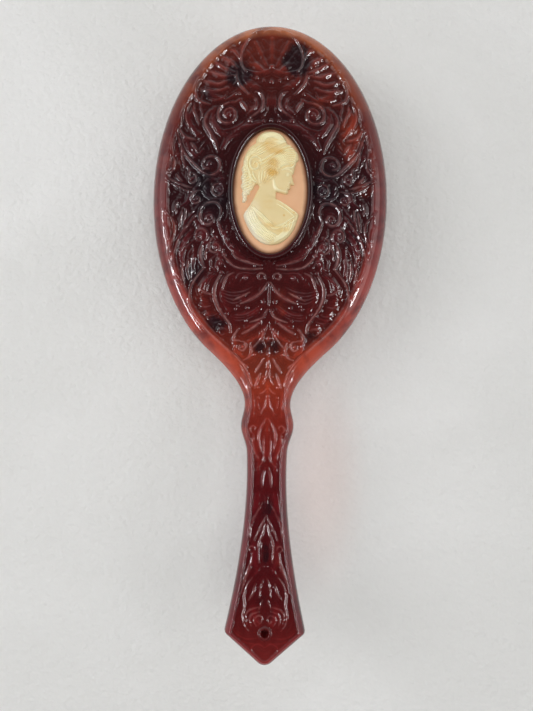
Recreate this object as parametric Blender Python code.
"""Vanity hairbrush: a moulded back and handle, a cameo in its setting, and a wire-drawn bristle plate.

The brush lies as it does on a dressing table, standing on its bristle tips. +Y runs from the handle
to the head, +Z is up through the ornamental back, and the origin is the middle tuft's cut end.
Sizes below are in millimetres, and the meshes are made in metres.
"""

import math

import bmesh
import bpy
from mathutils import Vector

MM = 0.001

# Outline of the back and handle, seen from above.
HEAD_HALF_WIDTH = 42.3
HEAD_HALF_LENGTH = 63.0
NECK_START_Y = -54.0
# Where the outline turns below the head: y, half width, and how fast the half width grows with y.
NECK_KNOTS = (
    (-73.6, 8.3, 0.0),
    (-80.9, 9.5, 0.0),
    (-90.0, 7.3, 0.06),
    (-98.0, 7.05, 0.0),
    (-147.0, 13.3, -0.23),
)
TIP_Y = -158.9
TIP_RADIUS = 4.0
TIP_HALF_ANGLE = math.radians(52)
HEEL_BLEND = 1.1

# Heights. The widest line of the body is the silhouette, and its edge rounds up and down from there.
SILHOUETTE_Z = 21.0
HANDLE_LIFT = 15.0
LIFT_START_Y = -54.0
HEAD_EDGE_RISE = 4.3
HEAD_EDGE_WIDTH = 5.5
HEAD_CROWN = 3.6
HEAD_EDGE_DROP = 4.0
HEAD_UNDER_WIDTH = 4.5
HANDLE_EDGE_RISE = 3.6
HANDLE_EDGE_WIDTH = 2.8
HANDLE_EDGE_DROP = 4.2
HANDLE_UNDER_WIDTH = 7.0
HANDLE_BLEND_Y = (-50.0, -76.0)

# Cameo and its setting, on the centre of the head.
CAMEO_HALF = (13.05, 21.75)
CAMEO_Y = 1.3
CAMEO_SEAT_GAP = 0.3
CAMEO_SEAT_Z = 26.7
GROUND_Z = (27.0, 28.9)
GROUND_CROWN = 0.3
GROUND_CHAMFER = 0.5
SETTING_WIDTH = 2.0
SETTING_TOP_Z = 30.3
SETTING_ROOT = 0.2
BUST_BASE_Z = 29.55
BUST_HEIGHT = 1.75

# Bristle plate, its recess in the underside of the head, and the tufts.
PLATE_HALF = (32.6, 50.6)
PLATE_GAP = 0.35
PLATE_Z = (16.4, 21.2)
PLATE_CHAMFER = 0.8
RECESS_ROOF_Z = 24.2
ROW_PITCH = 6.5
TUFT_PITCH = 6.2
TUFT_FIELD_HALF = (29.0, 47.0)
ROWS_EACH_SIDE = 7
TUFT_ROOT_RADIUS = 1.25
TUFT_TIP_RADIUS = 1.95
TUFT_SIDES = 6
HOLE_RADIUS = 1.75
ROOT_WEB_HALF_WIDTH = 1.5
ROOT_WEB_END = 0.4
ROOT_WEB_Z = (21.6, 22.3)
WIRE_RADIUS = 0.3
WIRE_Z = 22.95
WIRE_DIP = 0.22
WIRE_END = 2.2
WIRE_SIDES = 5

# Hanging eye moulded in the handle's end: a blind hole in a raised collar.
EYE_Y = -148.5
EYE_HOLE_RADIUS = 1.2
EYE_HOLE_DEPTH = 4.0
EYE_COLLAR_RADIUS = 2.1
EYE_COLLAR_RISE = 0.7

# Mesh fineness, and how far a cutter runs past what it cuts.
HEAD_STATIONS = 26
NECK_STATIONS = (14, 2.6)
GRIP_STATIONS = (9, 4.7)
END_STATIONS = (-144.6, -146.6, -148.2, -149.6, -151.2, -153.4, -155.6, -157.4, -158.4)
BODY_COLUMNS = 16
OVAL_SIDES = 48
EYE_SIDES = 12
COLLAR_SIDES = 16
CUT_PAST = 3.0


# ---------------------------------------------------------------- outline and heights

def hermite(t, start, end, start_slope, end_slope, span):
    """Cubic through two values with the given slopes, at t from 0 to 1 of the span."""
    return (
        (2 * t**3 - 3 * t**2 + 1) * start
        + (t**3 - 2 * t**2 + t) * span * start_slope
        + (3 * t**2 - 2 * t**3) * end
        + (t**3 - t**2) * span * end_slope
    )


def ellipse_half_width(y):
    return HEAD_HALF_WIDTH * math.sqrt(max(0.0, 1 - (y / HEAD_HALF_LENGTH) ** 2))


def neck_start_knot():
    """The last point of the head's ellipse, with its slope."""
    width = ellipse_half_width(NECK_START_Y)
    slope = -(HEAD_HALF_WIDTH**2) * NECK_START_Y / (HEAD_HALF_LENGTH**2 * width)
    return NECK_START_Y, width, slope


def handle_side(y):
    """Half width of the neck, collar and grip by the knots; straight past the last one."""
    knots = (neck_start_knot(), *NECK_KNOTS)
    for (y0, w0, s0), (y1, w1, s1) in zip(knots, knots[1:]):
        if y >= y1:
            return hermite((y - y0) / (y1 - y0), w0, w1, s0, s1, y1 - y0)
    y_last, w_last, slope = knots[-1]
    return w_last + slope * (y - y_last)


def point_side(y):
    """Half width of the pointed end: straight sides and a rounded tip."""
    centre = TIP_Y + TIP_RADIUS
    touch = centre - TIP_RADIUS * math.sin(TIP_HALF_ANGLE)
    if y < touch:
        return math.sqrt(max(0.0, TIP_RADIUS**2 - (y - centre) ** 2))
    return TIP_RADIUS * math.cos(TIP_HALF_ANGLE) + (y - touch) * math.tan(TIP_HALF_ANGLE)


def smooth_min(a, b, blend):
    share = max(0.0, min(1.0, 0.5 + (b - a) / (2 * blend)))
    return a * share + b * (1 - share) - blend * share * (1 - share)


def half_width(y):
    """Half width of the whole outline at y."""
    if y >= NECK_START_Y:
        return ellipse_half_width(y)
    if y > TIP_Y + 2 * TIP_RADIUS + HEEL_BLEND * 3:
        return handle_side(y)
    return max(0.0, smooth_min(handle_side(y), point_side(y), HEEL_BLEND))


def stations():
    """Where along the brush its sections are taken, closer together where the outline turns."""
    turn = math.pi / 2 - math.asin(NECK_START_Y / HEAD_HALF_LENGTH)
    angles = [math.pi / 2 - turn * i / HEAD_STATIONS for i in range(1, HEAD_STATIONS + 1)]
    places = [HEAD_HALF_LENGTH * math.sin(angle) for angle in angles]
    for count, step in (NECK_STATIONS, GRIP_STATIONS):
        start = places[-1]
        places += [start - step * i for i in range(1, count + 1)]
    return places + list(END_STATIONS)


def half_outline():
    """The right half of the outline as a fine line of points, from the top of the head to the tip."""
    head = [HEAD_HALF_LENGTH * math.sin(math.radians(angle)) for angle in range(90, -59, -3)]
    return [Vector((half_width(y), y)) for y in head + stations()[HEAD_STATIONS:]] + [Vector((0, TIP_Y))]


def edge_distance(x, y, outline):
    """How far a point lies inside the outline."""
    point = Vector((x, y))
    best = HEAD_HALF_WIDTH
    for a, b in zip(outline, outline[1:]):
        along = b - a
        share = max(0.0, min(1.0, (point - a).dot(along) / along.length_squared))
        best = min(best, (point - a - along * share).length)
    return best


def round_edge(distance, width):
    """Quarter round: 0 at the silhouette, 1 once the distance reaches the edge's width."""
    inward = min(distance / width, 1.0)
    return math.sqrt(1 - (1 - inward) ** 2)


def handle_share(y):
    """0 on the head and 1 on the handle, turning smoothly at the neck."""
    start, end = HANDLE_BLEND_Y
    t = max(0.0, min(1.0, (y - start) / (end - start)))
    return t * t * (3 - 2 * t)


def mix(head_value, handle_value, y):
    share = handle_share(y)
    return head_value * (1 - share) + handle_value * share


def lift(y):
    """The handle sweeps up, away from the bristles, to clear the knuckles."""
    t = max(0.0, (LIFT_START_Y - y) / (LIFT_START_Y - TIP_Y))
    return HANDLE_LIFT * t**1.6


def top_z(x, y, distance):
    crown = HEAD_CROWN * max(0.0, 1 - (x / HEAD_HALF_WIDTH) ** 2 - (y / HEAD_HALF_LENGTH) ** 2)
    rise = mix(HEAD_EDGE_RISE, HANDLE_EDGE_RISE, y)
    width = mix(HEAD_EDGE_WIDTH, HANDLE_EDGE_WIDTH, y)
    return SILHOUETTE_Z + lift(y) + rise * round_edge(distance, width) + crown


def bottom_z(y, distance):
    drop = mix(HEAD_EDGE_DROP, HANDLE_EDGE_DROP, y)
    width = mix(HEAD_UNDER_WIDTH, HANDLE_UNDER_WIDTH, y)
    return SILHOUETTE_Z + lift(y) - drop * round_edge(distance, width)


# ---------------------------------------------------------------- mesh helpers

def clear_scene():
    for obj in list(bpy.data.objects):
        bpy.data.objects.remove(obj)


def material(name, colour, roughness, metallic=0.0):
    made = bpy.data.materials.new(name)
    made.use_nodes = True
    shader = made.node_tree.nodes["Principled BSDF"]
    shader.inputs["Base Color"].default_value = (*colour, 1)
    shader.inputs["Roughness"].default_value = roughness
    shader.inputs["Metallic"].default_value = metallic
    return made


def add_object(name, mesh_builder, finish=None, smooth_angle=35):
    """An object whose mesh mesh_builder fills, in millimetres, with its normals turned outwards."""
    bm = bmesh.new()
    mesh_builder(bm)
    bmesh.ops.scale(bm, vec=(MM, MM, MM), verts=bm.verts)
    bmesh.ops.recalc_face_normals(bm, faces=bm.faces)
    mesh = bpy.data.meshes.new(name)
    bm.to_mesh(mesh)
    bm.free()
    mesh.shade_smooth()
    mesh.set_sharp_from_angle(angle=math.radians(smooth_angle))
    obj = bpy.data.objects.new(name, mesh)
    bpy.context.scene.collection.objects.link(obj)
    if finish:
        mesh.materials.append(finish)
    return obj


def add_cutter(name, mesh_builder):
    cutter = add_object(name, mesh_builder)
    cutter.hide_render = True
    cutter.display_type = "WIRE"
    return cutter


def add_boolean(obj, other, operation):
    modifier = obj.modifiers.new(other.name, "BOOLEAN")
    modifier.object = other
    modifier.operation = operation
    modifier.solver = "EXACT"


def oval_ring(bm, half, z, middle_y=0.0):
    angles = [2 * math.pi * i / OVAL_SIDES for i in range(OVAL_SIDES)]
    return [bm.verts.new((half[0] * math.cos(a), middle_y + half[1] * math.sin(a), z)) for a in angles]


def bridge(bm, lower, upper):
    """A band of faces between two closed rings with as many points."""
    count = len(lower)
    for i in range(count):
        j = (i + 1) % count
        bm.faces.new((lower[i], lower[j], upper[j], upper[i]))


def stack_of_rings(bm, rings):
    """A closed solid from rings in order, capped at both ends."""
    for lower, upper in zip(rings, rings[1:]):
        bridge(bm, lower, upper)
    bm.faces.new(rings[0])
    bm.faces.new(rings[-1])


def add_prism(bm, x, y, z_levels, radii, sides):
    """A round pin with one ring at each level."""
    angles = [2 * math.pi * i / sides for i in range(sides)]
    rings = []
    for z, radius in zip(z_levels, radii):
        places = [(x + radius * math.cos(a), y + radius * math.sin(a), z) for a in angles]
        rings.append([bm.verts.new(place) for place in places])
    stack_of_rings(bm, rings)


# ---------------------------------------------------------------- back and handle

def body_shell(bm):
    """The moulding as a pillow of two skins that meet on the silhouette."""
    outline = half_outline()
    shares = [math.sin(math.pi / 2 * (2 * i / BODY_COLUMNS - 1)) for i in range(BODY_COLUMNS + 1)]
    upper, lower = [], []
    for y in stations():
        width = half_width(y)
        upper_row, lower_row = [], []
        for i, share in enumerate(shares):
            x = share * width
            on_edge = i in (0, BODY_COLUMNS)
            distance = 0.0 if on_edge else edge_distance(abs(x), y, outline)
            top = bm.verts.new((x, y, top_z(x, y, distance)))
            upper_row.append(top)
            lower_row.append(top if on_edge else bm.verts.new((x, y, bottom_z(y, distance))))
        upper.append(upper_row)
        lower.append(lower_row)
    for rows in (upper, lower):
        for first, second in zip(rows, rows[1:]):
            for i in range(BODY_COLUMNS):
                bm.faces.new((first[i], first[i + 1], second[i + 1], second[i]))
    for end_y, row, under in (
        (HEAD_HALF_LENGTH, upper[0], lower[0]),
        (TIP_Y, upper[-1], lower[-1]),
    ):
        end = bm.verts.new((0, end_y, SILHOUETTE_Z + lift(end_y)))
        for side in (row, under):
            for a, b in zip(side, side[1:]):
                bm.faces.new((a, b, end))


def plate_recess(bm):
    half = (PLATE_HALF[0] + PLATE_GAP, PLATE_HALF[1] + PLATE_GAP)
    stack_of_rings(bm, [oval_ring(bm, half, z) for z in (PLATE_Z[0] - CUT_PAST, RECESS_ROOF_Z)])


def cameo_setting(bm):
    """The raised oval bead round the cameo, rounded on top."""
    outer = [half + SETTING_WIDTH for half in CAMEO_HALF]
    shoulder = [half + SETTING_WIDTH * 0.8 for half in CAMEO_HALF]
    crest = [half + SETTING_WIDTH * 0.5 for half in CAMEO_HALF]
    levels = (
        (outer, CAMEO_SEAT_Z + SETTING_ROOT),
        (outer, SETTING_TOP_Z - 1.2),
        (shoulder, SETTING_TOP_Z - 0.35),
        (crest, SETTING_TOP_Z),
    )
    stack_of_rings(bm, [oval_ring(bm, half, z, CAMEO_Y) for half, z in levels])


def cameo_seat(bm):
    half = [size + CAMEO_SEAT_GAP for size in CAMEO_HALF]
    stack_of_rings(bm, [oval_ring(bm, half, z, CAMEO_Y) for z in (CAMEO_SEAT_Z, SETTING_TOP_Z + CUT_PAST)])


def eye_top_z():
    return SILHOUETTE_Z + lift(EYE_Y) + HANDLE_EDGE_RISE


def eye_collar(bm):
    top = eye_top_z()
    levels = (top - EYE_HOLE_DEPTH / 2, top + EYE_COLLAR_RISE * 0.5, top + EYE_COLLAR_RISE)
    radii = (EYE_COLLAR_RADIUS, EYE_COLLAR_RADIUS, EYE_COLLAR_RADIUS * 0.8)
    add_prism(bm, 0, EYE_Y, levels, radii, COLLAR_SIDES)


def eye_hole(bm):
    top = eye_top_z()
    add_prism(bm, 0, EYE_Y, (top - EYE_HOLE_DEPTH, top + CUT_PAST), (EYE_HOLE_RADIUS,) * 2, EYE_SIDES)


def build_body(tortoiseshell):
    body = add_object("back_and_handle", body_shell, tortoiseshell)
    add_boolean(body, add_cutter("setting_bead", cameo_setting), "UNION")
    add_boolean(body, add_cutter("eye_collar", eye_collar), "UNION")
    add_boolean(body, add_cutter("plate_recess", plate_recess), "DIFFERENCE")
    add_boolean(body, add_cutter("cameo_seat", cameo_seat), "DIFFERENCE")
    add_boolean(body, add_cutter("eye_hole", eye_hole), "DIFFERENCE")


# ---------------------------------------------------------------- cameo

def ground_plaque(bm):
    """Oval plaque with a slightly crowned face."""
    inset = [half - GROUND_CHAMFER for half in CAMEO_HALF]
    middle = [half * 0.55 for half in CAMEO_HALF]
    levels = (
        (CAMEO_HALF, GROUND_Z[0]),
        (CAMEO_HALF, GROUND_Z[1] - GROUND_CHAMFER / 2),
        (inset, GROUND_Z[1]),
        (middle, GROUND_Z[1] + GROUND_CROWN),
    )
    stack_of_rings(bm, [oval_ring(bm, half, z, CAMEO_Y) for half, z in levels])


# Outline of the bust in the cameo's own plane, from the top of the bun round the front of the hair.
HAIR_FRONT = ((0.3, 20.2), (3.2, 19.3), (5.0, 17.2), (5.6, 15.3), (7.6, 14.0), (8.9, 12.2), (9.35, 10.4))
FACE = (
    (9.4, 9.2), (9.35, 7.6), (8.95, 6.7), (9.35, 5.2), (9.6, 4.3), (8.75, 3.6), (8.7, 2.8),
    (8.2, 2.4), (8.4, 1.9), (7.8, 1.4), (7.7, 0.6), (7.0, -0.2), (5.4, 0.0), (3.2, 0.1),
)
NECK_AND_SHOULDER = ((2.5, -1.8), (3.2, -3.2), (5.6, -4.9), (8.2, -6.6), (9.9, -8.2), (10.1, -9.2))
HEM = (
    (9.0, -12.4), (7.0, -15.6), (4.2, -18.2), (0.8, -19.7),
    (-2.2, -19.5), (-5.2, -17.4), (-7.6, -14.0), (-9.2, -10.2), (-9.8, -8.0),
)
BACK_AND_NAPE = ((-9.0, -6.4), (-7.4, -4.2), (-5.8, -1.8), (-4.6, 0.2), (-4.3, 1.4), (-5.1, 2.4))
RINGLETS = (
    (-6.4, 1.4), (-6.8, -0.6), (-7.8, -2.2), (-8.4, -3.8), (-9.4, -5.0), (-9.7, -3.4),
    (-9.9, -1.6), (-10.6, 0.2), (-10.3, 2.0), (-10.7, 4.2), (-10.2, 6.2), (-10.1, 8.4),
)
HAIR_BACK = ((-9.4, 11.2), (-7.8, 13.7), (-5.9, 15.3), (-5.3, 17.6), (-3.6, 19.3), (-1.6, 20.1))
BUST_OUTLINE = (*HAIR_FRONT, *FACE, *NECK_AND_SHOULDER, *HEM, *BACK_AND_NAPE, *RINGLETS, *HAIR_BACK)


def bust_relief(bm):
    """The bust as a low slab whose sides draw in a little towards the top."""
    rings = []
    for level, share in ((0.0, 1.0), (BUST_HEIGHT * 0.6, 0.985), (BUST_HEIGHT, 0.95)):
        z = BUST_BASE_Z + level
        rings.append([bm.verts.new((x * share, CAMEO_Y + y * share, z)) for x, y in BUST_OUTLINE])
    stack_of_rings(bm, rings)


# ---------------------------------------------------------------- bristles

def row_tufts(row):
    """Where the tufts of a row stand. Odd rows are set half a pitch to the side."""
    y = row * ROW_PITCH
    reach = TUFT_FIELD_HALF[0] * math.sqrt(1 - (y / TUFT_FIELD_HALF[1]) ** 2)
    shift = 0.5 if row % 2 else 0.0
    places = []
    most = math.ceil(TUFT_FIELD_HALF[0] / TUFT_PITCH) + 1
    for i in range(-most, most + 1):
        x = (i + shift) * TUFT_PITCH
        if abs(x) <= reach:
            places.append((x, y))
    return places


def row_numbers():
    return range(-ROWS_EACH_SIDE, ROWS_EACH_SIDE + 1)


def plate_blank(bm):
    inset = [half - PLATE_CHAMFER for half in PLATE_HALF]
    levels = (
        (inset, PLATE_Z[0]),
        (PLATE_HALF, PLATE_Z[0] + PLATE_CHAMFER),
        (PLATE_HALF, PLATE_Z[1]),
    )
    stack_of_rings(bm, [oval_ring(bm, half, z) for half, z in levels])


def tuft_holes(bm):
    for row in row_numbers():
        for x, y in row_tufts(row):
            levels = (PLATE_Z[0] - CUT_PAST, PLATE_Z[1] + CUT_PAST)
            add_prism(bm, x, y, levels, (HOLE_RADIUS, HOLE_RADIUS), TUFT_SIDES)


def tufts_of(row):
    """Each tuft is tight in its hole and fans out to its cut end."""
    def build(bm):
        for x, y in row_tufts(row):
            levels = (0.0, PLATE_Z[0], (ROOT_WEB_Z[0] + ROOT_WEB_Z[1]) / 2)
            radii = (TUFT_TIP_RADIUS, TUFT_ROOT_RADIUS, TUFT_ROOT_RADIUS)
            add_prism(bm, x, y, levels, radii, TUFT_SIDES)
    return build


def root_web_of(row):
    """The folded roots of a row, which lie side by side behind the plate."""
    def build(bm):
        xs = [x for x, _ in row_tufts(row)]
        y = row * ROW_PITCH
        reach = TUFT_ROOT_RADIUS + ROOT_WEB_END
        low, high = min(xs) - reach, max(xs) + reach
        front, rear = y - ROOT_WEB_HALF_WIDTH, y + ROOT_WEB_HALF_WIDTH
        corners = ((low, front), (high, front), (high, rear), (low, rear))
        rings = [[bm.verts.new((*corner, z)) for corner in corners] for z in ROOT_WEB_Z]
        stack_of_rings(bm, rings)
    return build


def wire_of(row):
    """The draw wire of a row: it runs over the roots and dips a little between them."""
    def build(bm):
        xs = [x for x, _ in row_tufts(row)]
        y = row * ROW_PITCH
        points = [(xs[0] - WIRE_END, WIRE_Z)]
        for first, second in zip(xs, xs[1:]):
            points += [(first, WIRE_Z + WIRE_DIP), ((first + second) / 2, WIRE_Z)]
        points += [(xs[-1], WIRE_Z + WIRE_DIP), (xs[-1] + WIRE_END, WIRE_Z)]
        angles = [2 * math.pi * i / WIRE_SIDES for i in range(WIRE_SIDES)]
        section = [(WIRE_RADIUS * math.cos(a), WIRE_RADIUS * math.sin(a)) for a in angles]
        rings = [[bm.verts.new((x, y + side, z + up)) for side, up in section] for x, z in points]
        stack_of_rings(bm, rings)
    return build


def build_bristles(nylon, amber, wire_metal):
    plate = add_object("bristle_plate", plate_blank, amber)
    add_boolean(plate, add_cutter("tuft_holes", tuft_holes), "DIFFERENCE")
    for row in row_numbers():
        number = ROWS_EACH_SIDE - row + 1
        tufts = add_object(f"bristle_row_{number:02d}", tufts_of(row), nylon)
        add_boolean(tufts, add_cutter(f"root_web_{number:02d}", root_web_of(row)), "UNION")
        add_object(f"draw_wire_{number:02d}", wire_of(row), wire_metal)


def main():
    clear_scene()
    build_body(material("tortoiseshell_plastic", (0.16, 0.022, 0.014), 0.14))
    add_object("cameo_ground", ground_plaque, material("coral_plastic", (0.72, 0.40, 0.28), 0.4))
    add_object("cameo_bust", bust_relief, material("ivory_plastic", (0.88, 0.80, 0.56), 0.42))
    build_bristles(
        material("bristle_nylon", (0.86, 0.82, 0.72), 0.35),
        material("amber_plastic", (0.34, 0.07, 0.03), 0.2),
        material("draw_wire", (0.72, 0.55, 0.28), 0.3, 1.0),
    )


main()
